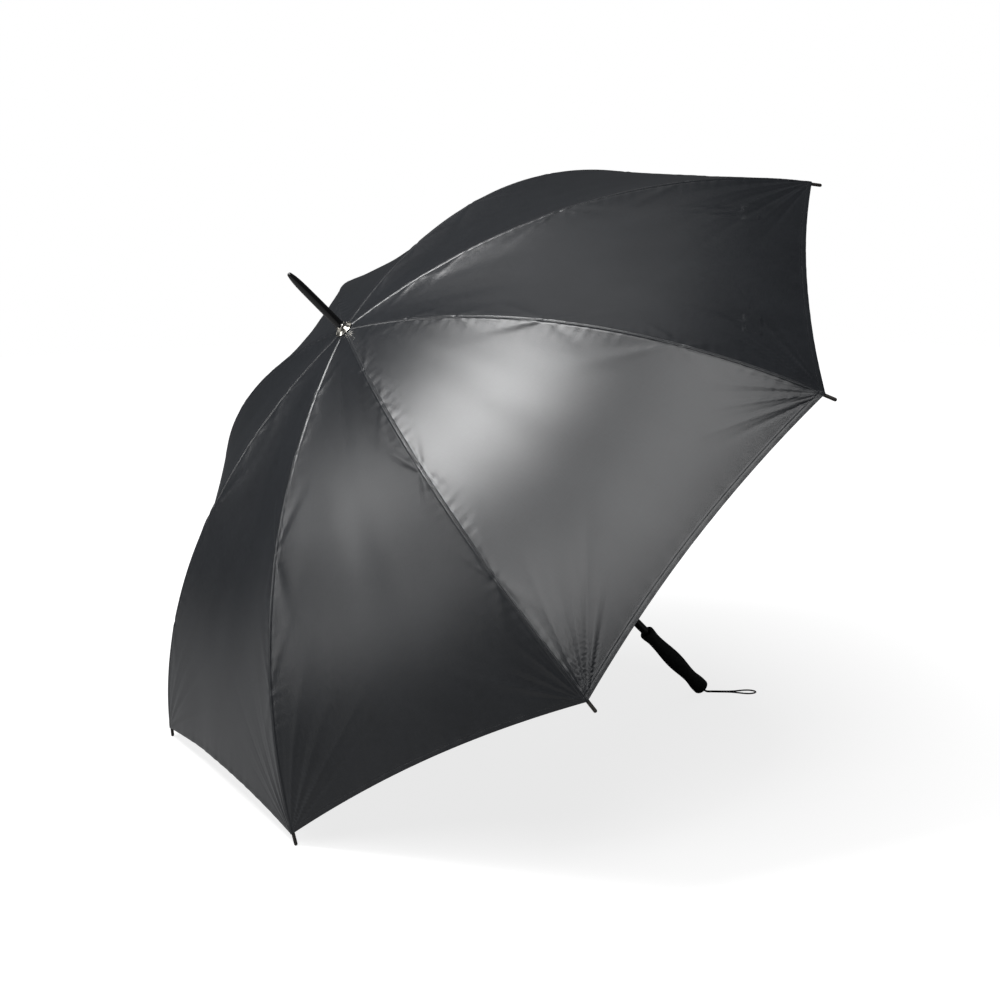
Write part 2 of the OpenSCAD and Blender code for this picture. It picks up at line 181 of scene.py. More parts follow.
def cloth_material():
    """Satin-finish polyester: fine plain weave, faint streaks along both yarns, soft sheen."""
    material, bsdf = shader("charcoal_canopy", (0.02, 0.022, 0.026), 0.34, 0.0, 0.5, 0.02)
    bsdf.inputs["Sheen Roughness"].default_value = 0.4
    bsdf.inputs["Sheen Tint"].default_value = (0.75, 0.85, 1, 1)
    uv = node(material, "ShaderNodeTexCoord").outputs["UV"]
    warp = noise(material, stretched(material, uv, (1600, 60, 1)), 1.0, 3, 0.55)
    weft = noise(material, stretched(material, uv, (60, 1600, 1)), 1.0, 3, 0.55)
    mottle = noise(material, stretched(material, uv, (14, 9, 1)), 1.0, 4, 0.5)
    yarns = node(material, "ShaderNodeMath")
    yarns.operation = "ADD"
    wire(material, warp, yarns.inputs[0])
    wire(material, weft, yarns.inputs[1])
    shade = node(material, "ShaderNodeMath")
    shade.operation = "MULTIPLY_ADD"
    wire(material, mottle, shade.inputs[0])
    shade.inputs[1].default_value = 0.6
    wire(material, yarns.outputs[0], shade.inputs[2])
    tone = spread(material, shade.outputs[0], 0, 1, 0.95, 1.65)
    wire(material, ramp(material, tone, CLOTH_DARK, CLOTH_LIGHT, 0, 1), bsdf.inputs["Base Color"])
    wire(material, spread(material, yarns.outputs[0], 0.29, 0.36, 0.7, 1.3), bsdf.inputs["Roughness"])
    weave = node(material, "ShaderNodeTexChecker", Scale=2400.0)
    wire(material, uv, weave.inputs["Vector"])
    first = bump(material, yarns.outputs[0], 0.00012, 0.5)
    wire(material, bump(material, weave.outputs["Fac"], 0.00004, 0.25, first), bsdf.inputs["Normal"])
    return material


def thread_material():
    material, bsdf = shader("black_thread", (0.010, 0.011, 0.012), 0.55, sheen=0.2)
    where = node(material, "ShaderNodeTexCoord").outputs["Object"]
    twist = noise(material, where, 2500, 2)
    colour = ramp(material, twist, (0.006, 0.006, 0.007), (0.018, 0.019, 0.021))
    wire(material, colour, bsdf.inputs["Base Color"])
    wire(material, bump(material, twist, 0.00008, 0.6), bsdf.inputs["Normal"])
    return material


def floor_material():
    """Pale floor with a glow that only the camera sees: it reaches the background's white far away."""
    material, bsdf = shader("studio_floor", (0.30, 0.30, 0.30), 0.8, specular=0.05)
    where = node(material, "ShaderNodeTexCoord").outputs["Object"]
    mottle = noise(material, where, 3, 2)
    wire(material, ramp(material, mottle, (0.29, 0.29, 0.29), (0.31, 0.31, 0.31)), bsdf.inputs["Base Color"])
    reach = node(material, "ShaderNodeVectorMath")
    reach.operation = "LENGTH"
    wire(material, where, reach.inputs[0])
    glow = spread(material, reach.outputs["Value"], 0.80, 1.05, 0.45, 1.3)
    seen = node(material, "ShaderNodeLightPath")
    both = node(material, "ShaderNodeMath")
    both.operation = "MULTIPLY"
    wire(material, glow, both.inputs[0])
    wire(material, seen.outputs["Is Camera Ray"], both.inputs[1])
    bsdf.inputs["Emission Color"].default_value = (1, 1, 1, 1)
    wire(material, both.outputs[0], bsdf.inputs["Emission Strength"])
    return material


CLOTH = cloth_material()
THREAD = thread_material()
FINISH = {
    "rib_steel": moulded("painted_rib_steel", (0.020, 0.020, 0.021), (0.040, 0.040, 0.043),
                         (0.30, 0.45), 900, 0.00006, metallic=0.6),
    "tip_plastic": moulded("tip_plastic", (0.016, 0.014, 0.012), (0.030, 0.026, 0.022),
                           (0.38, 0.52), 1200, 0.00008),
    "shaft_enamel": moulded("black_shaft_enamel", (0.006, 0.006, 0.0065), (0.012, 0.012, 0.013),
                            (0.16, 0.30), 700, 0.00005, coat=0.4),
    "ferrule_plastic": moulded("gloss_black_ferrule", (0.003, 0.003, 0.0035), (0.007, 0.007, 0.0075),
                               (0.07, 0.16), 450, 0.00004, coat=0.3, strength=0.3),
    "crown_metal": moulded("nickel_crown", (0.62, 0.58, 0.50), (0.88, 0.85, 0.78),
                           (0.12, 0.26), 1500, 0.00003, metallic=1.0, strength=0.4),
    "hub_plastic": moulded("hub_plastic", (0.010, 0.010, 0.011), (0.020, 0.020, 0.021),
                           (0.34, 0.50), 1300, 0.00007),
    "ring_wire": moulded("ring_wire", (0.42, 0.41, 0.39), (0.62, 0.61, 0.58),
                         (0.22, 0.38), 1400, 0.00004, metallic=1.0),
    "grip_foam": moulded("grip_foam", (0.012, 0.013, 0.013), (0.024, 0.026, 0.025),
                         (0.50, 0.68), 1500, 0.00030, specular=0.5, strength=0.8),
    "plug_plastic": moulded("plug_plastic", (0.006, 0.006, 0.0065), (0.013, 0.013, 0.014),
                            (0.34, 0.50), 1100, 0.00008),
    "catch_steel": moulded("spring_steel", (0.36, 0.35, 0.34), (0.56, 0.55, 0.53),
                           (0.20, 0.36), 1600, 0.00004, metallic=1.0),
    "cord_braid": moulded("cord_braid", (0.004, 0.004, 0.0045), (0.012, 0.012, 0.013),
                          (0.50, 0.68), 1800, 0.00010, specular=0.4),
}


# ------------------------------------------------------------------- camera

LENS_MM, SENSOR_MM = 65.17, 36.0
CAMERA_PLACE = (-1.31642, -2.44180, 0.99820)
CAMERA_ANGLES_DEG = (-28.898, 12.394, -0.678)


def make_camera():
    """Camera at the photograph's viewing angle: azimuth, elevation and roll."""
    data = bpy.data.cameras.new("product_camera")
    data.lens = LENS_MM
    data.sensor_width = SENSOR_MM
    camera = link(bpy.data.objects.new("product_camera", data))
    azimuth, elevation, roll = (math.radians(a) for a in CAMERA_ANGLES_DEG)
    back = Vector((math.sin(azimuth) * math.cos(elevation),
                   -math.cos(azimuth) * math.cos(elevation), math.sin(elevation)))
    camera.location = CAMERA_PLACE
    camera.rotation_mode = "QUATERNION"
    camera.rotation_quaternion = Quaternion(back, roll) @ (-back).to_track_quat("-Z", "Y")
    bpy.context.scene.camera = camera


# --------------------------------------------------------------- wrist cord

CORD_D = 0.0026
CORD_HEADING = math.radians(-33)
# one leg of the loop, in mm: along the heading, across it, and above the floor
CORD_STEM = [(0, 1.6, 7.9), (2, 1.6, 5.9), (4, 1.6, 4.1), (6.5, 1.6, 2.5), (10, 1.6, 1.4), (18, 1.6, 1.4),
             (28, 1.7, 1.4), (38, 1.8, 1.4), (48, 2.2, 1.4), (57, 3.8, 1.4), (66, 6.8, 1.4), (74, 9, 1.4),
             (82, 9.2, 1.4), (88, 6.8, 1.4), (91.3, 3.4, 1.4)]
CORD_TIP = (92.4, 0, 1.4)


def cord_route():
    """Out along one leg, round the tip and back along the other."""
    outlet = hub - SHAFT_REACH * up

    def placed(p, side):
        along, across, height = p[0] * MM, side * p[1] * MM, p[2] * MM
        return (outlet[0] + along * math.cos(CORD_HEADING) - across * math.sin(CORD_HEADING),
                along * math.sin(CORD_HEADING) + across * math.cos(CORD_HEADING), height)

    out = [placed(p, -1) for p in CORD_STEM]
    home = [placed(p, 1) for p in reversed(CORD_STEM)]
    return np.array(out + [placed(CORD_TIP, 1)] + home)


def smoothed(points, steps):
    """Catmull-Rom curve through the points."""
    padded = np.vstack([points[:1], points, points[-1:]])
    line = []
    for n in range(len(points) - 1):
        a, b, c, d = padded[n:n + 4]
        for f in np.arange(steps) / steps:
            line.append(0.5 * (2 * b + (c - a) * f + (2 * a - 5 * b + 4 * c - d) * f ** 2
                               + (3 * b - a - 3 * c + d) * f ** 3))
    return np.array(line + [points[-1]])


def braided_cord():
    """Tube whose skin has the raised crossing strands of a round braid."""
    line = smoothed(cord_route(), 14)
    around, strands, pitch = 24, 6, 0.0052
    ahead = np.gradient(line, axis=0)
    ahead /= np.linalg.norm(ahead, axis=1)[:, None]
    flat = np.cross([0, 0, 1], ahead)
    flat /= np.linalg.norm(flat, axis=1)[:, None]
    lift = np.cross(ahead, flat)
    travel = np.concatenate([[0], np.cumsum(np.linalg.norm(np.diff(line, axis=0), axis=1))])
    turn = np.arange(around) * 2 * math.pi / around
    phase = 2 * math.pi * travel[:, None] / pitch
    weave = np.cos(strands / 2 * turn + phase) * np.cos(strands / 2 * turn - phase)
    radius = CORD_D / 2 * (0.97 + 0.07 * weave)
    skin = line[:, None] + radius[..., None] * (
        np.cos(turn)[None, :, None] * flat[:, None] + np.sin(turn)[None, :, None] * lift[:, None])
    rings = len(line)
    faces = [(n * around + k, (n + 1) * around + k, (n + 1) * around + (k + 1) % around,
              n * around + (k + 1) % around) for n in range(rings - 1) for k in range(around)]
    faces.append(list(range(around)))
    faces.append([(rings - 1) * around + k for k in reversed(range(around))])
    cord = mesh_piece("wrist_loop", skin.reshape(-1, 3), faces, FINISH["cord_braid"])
    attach(cord, "shaft")
    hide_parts("wrist_cord")


# ------------------------------------------------------------- canopy shape

INNER_RADIUS = JOINT_S / (SLOPE_JOINT - SLOPE_HUB)
OUTER_RADIUS = (RIB_LEN - JOINT_S) / (SLOPE_TIP - SLOPE_JOINT)
STEP = 2 * math.pi / RIBS
SPLIT_T = (JOINT_S - CLOTH_START) / (CLOTH_END - CLOTH_START)
TIES = (0.118, 0.205, JOINT_S, 0.545)


def rib_line(s):
    """Radius, height and slope of the rib at a distance from the notch."""
    inner = s < JOINT_S
    slope = np.where(inner, SLOPE_HUB + (SLOPE_JOINT - SLOPE_HUB) * s / JOINT_S,
                     SLOPE_JOINT + (SLOPE_TIP - SLOPE_JOINT) * (s - JOINT_S) / (RIB_LEN - JOINT_S))
    knee_r = PIVOT_R + INNER_RADIUS * (math.sin(SLOPE_JOINT) - math.sin(SLOPE_HUB))
    knee_z = INNER_RADIUS * (math.cos(SLOPE_JOINT) - math.cos(SLOPE_HUB))
    r = np.where(inner, PIVOT_R + INNER_RADIUS * (np.sin(slope) - math.sin(SLOPE_HUB)),
                 knee_r + OUTER_RADIUS * (np.sin(slope) - math.sin(SLOPE_JOINT)))
    z = np.where(inner, INNER_RADIUS * (np.cos(slope) - math.cos(SLOPE_HUB)),
                 knee_z + OUTER_RADIUS * (np.cos(slope) - math.cos(SLOPE_JOINT)))
    return r, z, slope


def cloth_lift(s):
    return CLOTH_LIFT + CLOTH_RISE * np.clip(s / JOINT_S, 0, 1)


def bell(x, width):
    return np.exp(-(x / width) ** 2)


def fade(x, start, end):
    """0 before start, 1 after end."""
    f = np.clip((x - start) / (end - start), 0, 1)
    return f * f * (3 - 2 * f)


# Broad waves of a panel: cycles across it, cycles along it, height
WAVE_KINDS = ((1.0, 0.9, 0.0007), (1.6, 1.3, 0.0005), (2.3, 0.7, 0.0003), (3.4, 1.7, 0.0002),
              (5.0, 1.1, 0.00012))
# Pull creases that fan out from each rib's tip: how many, their height, and how the swell rises and falls
FAN_COUNT, FAN_HEIGHT, FAN_POWER = 7, 0.00085, 1.6
# Folds that run from each thread tie
FOLDS_PER_TIE = 2
FOLD_GROWTH = 0.095
# Puckers along the seam and the hem
PUCKER_HEIGHT, PUCKER_REACH, PUCKER_PITCHES = 0.00018, 0.011, (0.0165, 0.0260)
HEM_PUCKER_HEIGHT, HEM_PUCKER_REACH, HEM_PUCKER_PITCHES = 0.00030, 0.012, (0.034, 0.021)
# Seam over the rib: the folded band, its height, and the second row of stitches
SEAM_BAND, SEAM_HEIGHT, SECOND_ROW = 0.0029, 0.00055, 0.0062
# Hem: its stitches' distance from the edge and its height
HEM_STITCHES, HEM_HEIGHT = 0.0072, 0.00028

# Random numbers for each panel
WAVES = rng.uniform(0, 1, (RIBS, len(WAVE_KINDS), 3))
FANS = rng.uniform(-1, 1, (RIBS, 2, FAN_COUNT, 3))
FOLDS = rng.uniform(-1, 1, (RIBS, 2, len(TIES), FOLDS_PER_TIE, 4))
PUCKERS = rng.uniform(0, 6.28, (RIBS, 2, 4))

# Two sewn-on patches: places as (share of the width, distance along the rib), and half sizes along and across
PATCH_PANEL = 6
PATCHES = ((0.80, 0.645), (0.205, 0.645))
PATCH_HALF = (0.0125, 0.018)
PATCH_HEIGHT, PATCH_INSET = 0.00045, 0.0018
PULL_LENGTH, PULL_HEIGHT = 0.018, 0.0011


def of_panel(table, panel, *place):
    """One random number of each kind for every point, by the panel it lies in."""
    return np.moveaxis(table[(panel, *place)], -1, 0)


def wave_height(panel, w, s):
    """Broad, low waves of a whole panel."""
    height = np.zeros_like(s)
    along = s / CLOTH_END
    for k, (cycles, runs, size) in enumerate(WAVE_KINDS):
        a, b, c = of_panel(WAVES, panel, k)
        across_wave = np.sin(2 * math.pi * (cycles * w + a))
        along_wave = np.sin(2 * math.pi * (runs * along + b) + 2 * c * w)
        height += size * (across_wave * along_wave) * np.sin(math.pi * w) * fade(s, 0.02, 0.25)
    return height


def fan_heights(panel, side, x, s):
    """Creases that the pull of the rib's tip fans out into the panel."""
    y = CLOTH_END - s
    rho = np.hypot(x, y)
    angle = np.arctan2(x, np.maximum(y, 1e-6))
    for k in range(FAN_COUNT):
        jitter, size, reach = of_panel(FANS, panel, side, k)
        heading = 0.13 + 0.155 * k + 0.035 * jitter
        width = 0.042 + 0.010 * size
        peak = 0.052 + 0.018 * reach
        swell = (rho / peak) ** FAN_POWER * np.exp(FAN_POWER * (1 - rho / peak))
        sign = 1 if k % 2 else -0.8
        yield sign * FAN_HEIGHT * (0.75 + 0.35 * size) * swell * bell(angle - heading, width)


def tie_fold_heights(panel, side, x, s):
    """Short folds that start where thread ties the cloth to the rib: longest at the two outer ties."""
    for t, tie in enumerate(TIES):
        near_crown = t < 2
        for m in range(FOLDS_PER_TIE):
            lean, size, reach, shift = of_panel(FOLDS, panel, side, t, m)
            turn = np.radians(24 + 8 * lean)
            toward = -1 if (m == 0) == (near_crown or side == 0) else 1
            u = toward * (s - tie - 0.004 * shift) * np.cos(turn) + x * np.sin(turn)
            v = -toward * (s - tie - 0.004 * shift) * np.sin(turn) + x * np.cos(turn)
            peak = (0.020 if near_crown else 0.030) + 0.006 * reach
            run = np.maximum(u, 0) / peak
            swell = run * np.exp(1 - run)
            rise = (0.0009 if tie == JOINT_S else 0.0005) * (0.8 + 0.4 * size)
            span = 0.0036 + FOLD_GROWTH * np.maximum(u, 0)
            yield rise * swell * (bell(v, span) - 0.55 * bell(v + 1.5 * span, span))


def seam_heights(panel, side, x, s):
    """Puckers, the folded band over the rib, its groove, the second row of stitches and the ties."""
    a, b = of_panel(PUCKERS, panel, side)[:2]
    tight = np.exp(-x / PUCKER_REACH) * fade(x, 0.0008, 0.004)
    ripple = (np.sin(s * 2 * math.pi / PUCKER_PITCHES[0] + a)
              + 0.7 * np.sin(s * 2 * math.pi / PUCKER_PITCHES[1] + b))
    yield PUCKER_HEIGHT * tight * ripple
    yield (SEAM_HEIGHT * (1 - fade(x, SEAM_BAND - 0.0007, SEAM_BAND + 0.0008))
           - 0.00045 * bell(x - SEAM_BAND - 0.0006, 0.0011))
    yield -0.00100 * bell(x, 0.0010)
    if side == 0:
        yield -0.00022 * bell(x - SECOND_ROW, 0.0007)
    for tie in TIES:
        yield -0.0008 * bell(s - tie, 0.0035) * bell(x, 0.0045)


def hem_heights(panel, w, chord, edge):
    """The stitched hem and the cloth that puckers above it."""
    yield HEM_HEIGHT * (1 - fade(edge, 0.0085, 0.0098)) - 0.00040 * bell(edge - HEM_STITCHES, 0.0009)
    c, d = of_panel(PUCKERS, panel, 0)[2:]
    x = w * chord
    yield HEM_PUCKER_HEIGHT * np.exp(-np.maximum(edge, 0) / HEM_PUCKER_REACH) * np.sin(math.pi * w) * (
        np.sin(x * 2 * math.pi / HEM_PUCKER_PITCHES[0] + c)
        + 0.6 * np.sin(x * 2 * math.pi / HEM_PUCKER_PITCHES[1] + d))


def patch_heights(panel, w, s, chord):
    """The raised patches, their stitched rims and the short folds that hang from them."""
    on_patches = (panel == PATCH_PANEL).astype(float)
    for k, (patch_w, patch_s) in enumerate(PATCHES):
        dx = (w - patch_w) * chord
        dy = s - patch_s
        inside = (1 - fade(np.abs(dx), PATCH_HALF[1] - 0.0006, PATCH_HALF[1] + 0.0010)) * (
            1 - fade(np.abs(dy), PATCH_HALF[0] - 0.0006, PATCH_HALF[0] + 0.0010))
        yield on_patches * PATCH_HEIGHT * inside
        rim = np.maximum(np.abs(dx) - PATCH_HALF[1], np.abs(dy) - PATCH_HALF[0])
        yield -on_patches * 0.00030 * bell(rim + PATCH_INSET, 0.0006)
        for offset in ((-0.009, 0.006) if k == 0 else (0.004,)):
            pull = np.maximum(-dy - PATCH_HALF[0] + 0.004, 0) / PULL_LENGTH
            drift = dx - offset - 0.12 * pull * PULL_LENGTH
            yield -on_patches * PULL_HEIGHT * pull * np.exp(1 - pull) * bell(drift, 0.0034)


def panel_height(panel, w, s, limit, chord):
    """How far the cloth stands off the smooth panel, with its creases, seams and hem."""
    height = wave_height(panel, w, s)
    for side in (0, 1):
        x = (w if side == 0 else 1 - w) * chord
        for kind in (fan_heights, tie_fold_heights, seam_heights):
            for more in kind(panel, side, x, s):
                height += more
    for more in hem_heights(panel, w, chord, limit - s):
        height += more
    for more in patch_heights(panel, w, s, chord):
        height += more
    return height


def hem_limit(across):
    """Distance from the notch to the hem, which curves in between two ribs."""
    return CLOTH_END - HEM_SCALLOP * 4 * np.abs(across) * (1 - np.abs(across))


def chord_at(r):
    """Straight distance between neighbouring ribs at a radius."""
    return 2 * r * math.sin(STEP / 2)


def cloth_points(spoke, across, t):
    """Points of the canopy.

    across runs from -0.5 to 0.5 panel widths from the rib, and t from 0 at the crown to 1 at the hem.
    """
    right = across >= 0
    panel = np.where(right, spoke, (spoke - 1) % RIBS)
    w = np.where(right, across, 1 + across)
    limit = hem_limit(across)
    s = CLOTH_START + t * (limit - CLOTH_START)
    r, z, slope = rib_line(s)
    lift = cloth_lift(s)
    r = r + lift * np.sin(slope)
    z = z + lift * np.cos(slope)
    a, b = radials[panel], radials[(panel + 1) % RIBS]
    chord_dir = a * (1 - w)[..., None] + b * w[..., None]
    middle = (a + b) / np.linalg.norm(a + b, axis=-1, keepdims=True)
    inward = np.sin(slope)[..., None] * middle + np.cos(slope)[..., None] * up
    place = hub + r[..., None] * chord_dir + z[..., None] * up
    place -= (PANEL_SAG * 4 * w * (1 - w) * np.sin(math.pi * np.clip(t, 0, 1)))[..., None] * inward
    outward = chord_dir / np.linalg.norm(chord_dir, axis=-1, keepdims=True)
    outward = np.sin(slope)[..., None] * outward + np.cos(slope)[..., None] * up
    height = panel_height(panel, w, s, limit, chord_at(r))
    return place + height[..., None] * outward


def cloth_normals(spoke, across, t, reach=0.0011):
    """Outward unit normals, from four near points, so that pieces that meet shade alike."""
    r = rib_line(CLOTH_START + t * (CLOTH_END - CLOTH_START))[0]
    dw = reach / chord_at(np.maximum(r, 0.010))
    dt = reach / (CLOTH_END - CLOTH_START)
    down = cloth_points(spoke, across, t + dt) - cloth_points(spoke, across, t - dt)
    over = cloth_points(spoke, across + dw, t) - cloth_points(spoke, across - dw, t)
    n = np.cross(down, over)
    return n / np.linalg.norm(n, axis=-1, keepdims=True)


SEAM_COLUMNS_MM = (0, 0.5, 1.0, 1.6, 2.2, 2.8, 3.4, 4.2, 5.2, 6.2, 7.2)
HEM_ROWS_MM = (10.6, 9.8, 9.2, 8.6, 7.9, 7.2, 6.5, 5.2, 3.4, 1.6, 0.5, 0)


def columns(t, count=42):
    """Places across one half panel: close together at the seam, then wider apart to the middle."""
    chord = chord_at(rib_line(CLOTH_START + t * (CLOTH_END - CLOTH_START))[0])
    half = chord / 2
    seam = np.array(SEAM_COLUMNS_MM) * MM
    seam_x = seam[None, :] * (half / (half + 0.012))[:, None]
    f = (np.arange(1, count + 1) / count) ** 1.35
    rest = seam_x[:, -1:] + (half[:, None] - seam_x[:, -1:]) * f[None, :]
    return np.hstack([seam_x, rest]) / chord[:, None]


def cloth_rows(part):
    if part == "inner":
        return np.linspace(0, SPLIT_T, 112)
    body = np.linspace(SPLIT_T, 1 - 0.0125 / CLOTH_END, 118)
    edge = 1 - np.array(HEM_ROWS_MM) * MM / CLOTH_END
    return np.concatenate([body, edge])


SHELL = 0.00035
LIFT = 0.00012
PANEL_SHIFT = 3.1


def shell_faces(n_rows, n_cols):
    """Quads of the upper skin, of the under skin, and of the edge that closes them."""
    index = np.arange(n_rows * n_cols).reshape(n_rows, n_cols)
    a, b = index[:-1, :-1].ravel(), index[1:, :-1].ravel()
    c, d = index[1:, 1:].ravel(), index[:-1, 1:].ravel()
    shift = n_rows * n_cols
    loop = np.concatenate([index[:-1, 0], index[-1, :-1], index[:0:-1, -1], index[0, :0:-1]])
    after = np.roll(loop, -1)
    return np.vstack([np.stack([a, b, c, d], 1), np.stack([a, d, c, b], 1) + shift,
                      np.stack([after, loop, loop + shift, after + shift], 1)])


def weave_uvs(spoke, across, t, faces):
    """Flat pattern in metres: each half runs with its own panel's middle line."""
    n_rows, n_cols = t.shape
    w_left = np.where(across <= 0, 1 + across, across)
    s = CLOTH_START + t * (hem_limit(across) - CLOTH_START)
    r, _, slope = rib_line(s)
    chord = chord_at(r + cloth_lift(s) * np.sin(slope))
    left_x = (w_left - 0.5) * chord + PANEL_SHIFT * ((spoke - 1) % RIBS)
    right_x = (across - 0.5) * chord + PANEL_SHIFT * spoke
    flat_left, flat_right = (np.tile(np.stack([x, s], -1).reshape(-1, 2), (2, 1)) for x in (left_x, right_x))
    column = np.tile(np.arange(n_cols), 2 * n_rows)
    is_left = (column[faces].sum(1) < 4 * (n_cols // 2))[:, None, None]
    return np.where(is_left, flat_left[faces], flat_right[faces])


def canopy_piece(spoke, part):
    """One rib's cloth, from the middle of one panel to the middle of the next, and its area."""
    rows = cloth_rows(part)
    half = columns(rows)
    across = np.hstack([-half[:, :0:-1], half])
    t = np.repeat(rows[:, None], across.shape[1], 1)
    normals = cloth_normals(spoke, across, t)
    top = cloth_points(spoke, across, t) + LIFT * normals
    under = top - SHELL * normals
    faces = shell_faces(*t.shape)
    skins = np.vstack([top.reshape(-1, 3), under.reshape(-1, 3)])
    skin_normals = np.vstack([normals.reshape(-1, 3), -normals.reshape(-1, 3)])
    piece = mesh_piece(f"cloth_{part}_{spoke + 1}", skins, faces, CLOTH, skin_normals,
                       weave_uvs(spoke, across, t, faces))
    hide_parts(f"canopy_{part}_{spoke + 1}")
    diagonals = top[1:, 1:] - top[:-1, :-1], top[1:, :-1] - top[:-1, 1:]
    area = float(np.linalg.norm(np.cross(*diagonals), axis=-1).sum() / 2)
    return piece, area


def thread_stitches(centres, headings, normals, length, width):
    """One small eight-sided bead of thread for each stitch, laid along its heading."""
    over = np.cross(headings, normals)
    ends = [centres - headings * length / 2, centres + headings * length / 2]
    ring = [centres + over * width / 2, centres + normals * width * 0.45,
            centres - over * width / 2, centres - normals * width * 0.45]
    points = np.stack(ends + ring, 1).reshape(-1, 3)
    shape = np.array([[0, 3, 2], [0, 4, 3], [0, 5, 4], [0, 2, 5], [1, 2, 3], [1, 3, 4], [1, 4, 5], [1, 5, 2]])
    faces = (np.arange(len(centres))[:, None, None] * 6 + shape[None]).reshape(-1, 3)
    return points, faces


def stitch_line(spoke, across, t, pitch, length, width):
    """Stitches every pitch along a line on the cloth, given by close points."""
    line = cloth_points(spoke, across, t)
    travel = np.concatenate([[0], np.cumsum(np.linalg.norm(np.diff(line, axis=0), axis=1))])

    def on_line(at):
        return np.interp(at, travel, across), np.interp(at, travel, t)

    at = np.arange(pitch / 2, travel[-1], pitch)
    centres = cloth_points(spoke, *on_line(at))
    headings = cloth_points(spoke, *on_line(at + 0.001)) - cloth_points(spoke, *on_line(at - 0.001))
    headings /= np.linalg.norm(headings, axis=1)[:, None]
    normals = cloth_normals(spoke, *on_line(at))
    return thread_stitches(centres + normals * LIFT, headings, normals, length, width)


def join(parts):
    points, faces, start = [], [], 0
    for p, f in parts:
        points.append(p)
        faces += (np.asarray(f) + start).tolist()
        start += len(p)
    return np.vstack(points), faces


def seam_stitches(spoke, part):
    """Two rows of stitches along the rib, and on the outer piece the hem's row and the patches' rims."""
    lo, hi = (0.022, SPLIT_T) if part == "inner" else (SPLIT_T, 1 - 0.011 / CLOTH_END)
    t = np.linspace(lo, hi, 240)
    chord = chord_at(rib_line(CLOTH_START + t * (CLOTH_END - CLOTH_START))[0])
    lines = [stitch_line(spoke, np.full_like(t, 0.0), t, 0.0032, 0.0023, 0.00042),
             stitch_line(spoke, np.minimum(SECOND_ROW / chord, 0.2), t, 0.0032, 0.0023, 0.00038)]
    if part == "outer":
        across = np.linspace(-0.492, 0.492, 400)
        edge_t = 1 - HEM_STITCHES / hem_limit(across)
        lines.append(stitch_line(spoke, across, edge_t, 0.0033, 0.0024, 0.00040))
        for patch_w, patch_s in PATCHES:
            near = PATCH_PANEL if patch_w < 0.5 else (PATCH_PANEL + 1) % RIBS
            if spoke == near:
                lines.append(patch_outline(spoke, patch_w if patch_w < 0.5 else patch_w - 1, patch_s))
    points, faces = join(lines)
    return mesh_piece(f"stitches_{part}_{spoke + 1}", points, faces, THREAD)


def patch_outline(spoke, across, s):
    chord = chord_at(float(rib_line(np.array(s))[0]))
    limit = hem_limit(across)
    hx, hy = (PATCH_HALF[1] - PATCH_INSET) / chord, (PATCH_HALF[0] - PATCH_INSET) / limit
    t = (s - CLOTH_START) / (limit - CLOTH_START)
    corners = np.array([[-1, -1], [1, -1], [1, 1], [-1, 1], [-1, -1]])
    path = np.vstack([corners[k] + (corners[k + 1] - corners[k]) * f
                      for k in range(4) for f in np.linspace(0, 1, 30)[:, None]])
    return stitch_line(spoke, across + path[:, 0] * hx, t + path[:, 1] * hy, 0.0026, 0.0019, 0.00038)


# ------------------------------------------------------- turned solid pieces

def lathe(profile, around):
    """Solid turned about the shaft: the profile is a closed outline of (radius, height)."""
    profile = np.asarray(profile, float)
    turn = np.arange(around) * 2 * math.pi / around
    spin = np.cos(turn)[:, None] * side_x + np.sin(turn)[:, None] * side_y
    points = hub + profile[:, 0][:, None, None] * spin[None] + profile[:, 1][:, None, None] * up
    n = len(profile)
    faces = []
    for j in range(n):
        m = (j + 1) % n
        on_axis = [profile[j, 0] < 1e-7, profile[m, 0] < 1e-7]
        if all(on_axis):
            continue
        for k in range(around):
            q = (k + 1) % around
            quad = [j * around + k, m * around + k, m * around + q, j * around + q]
            if on_axis[0]:
                quad = [j * around, m * around + k, m * around + q]
            elif on_axis[1]:
                quad = [j * around + k, m * around, j * around + q]
            faces.append(quad)
    return points.reshape(-1, 3), faces


def turned(name, profile, around, slot, node_name, sharp_deg):
    """A turned piece on the shaft that stands for one CAD node."""
    points, faces = lathe(profile, around)
    used = sorted({v for f in faces for v in f})
    renumber = {v: k for k, v in enumerate(used)}
    piece = mesh_piece(name, points[used], [[renumber[v] for v in f] for f in faces], FINISH[slot])
    piece.data.set_sharp_from_angle(angle=math.radians(sharp_deg))
    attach(piece, "shaft")
    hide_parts(node_name)


def arc(centre, radius, start_deg, end_deg, count):
    return [(centre[0] + radius * math.cos(math.radians(a)), centre[1] + radius * math.sin(math.radians(a)))
            for a in np.linspace(start_deg, end_deg, count)]


def ferrule_piece():
    foot_r, base, straight, taper, draft = 0.0076, 0.0066, 0.040, 0.45, 0.06
    tip_r = base * (1 - taper)
    run = FERRULE_LEN - straight - tip_r
    rise = [(base * (1 - draft * f - (taper - draft) * f ** 6), FERRULE_SEAT + straight + run * f)
            for f in np.linspace(0, 1, 40)]
    dome = arc((0, FERRULE_SEAT + straight + run), tip_r, 0, 90, 14)[1:]
    foot = [(0, FERRULE_SEAT), (foot_r - 0.0003, FERRULE_SEAT), (foot_r, FERRULE_SEAT + 0.0003),
            (foot_r - 0.0001, FERRULE_SEAT + 0.0006), (base + 0.0001, FERRULE_SEAT + 0.0014),
            (base, FERRULE_SEAT + 0.0017)]
    outline = foot + rise + dome[:-1] + [(0, FERRULE_SEAT + FERRULE_LEN)]
    turned("ferrule_spike", outline, 96, "ferrule_plastic", "ferrule", 60)


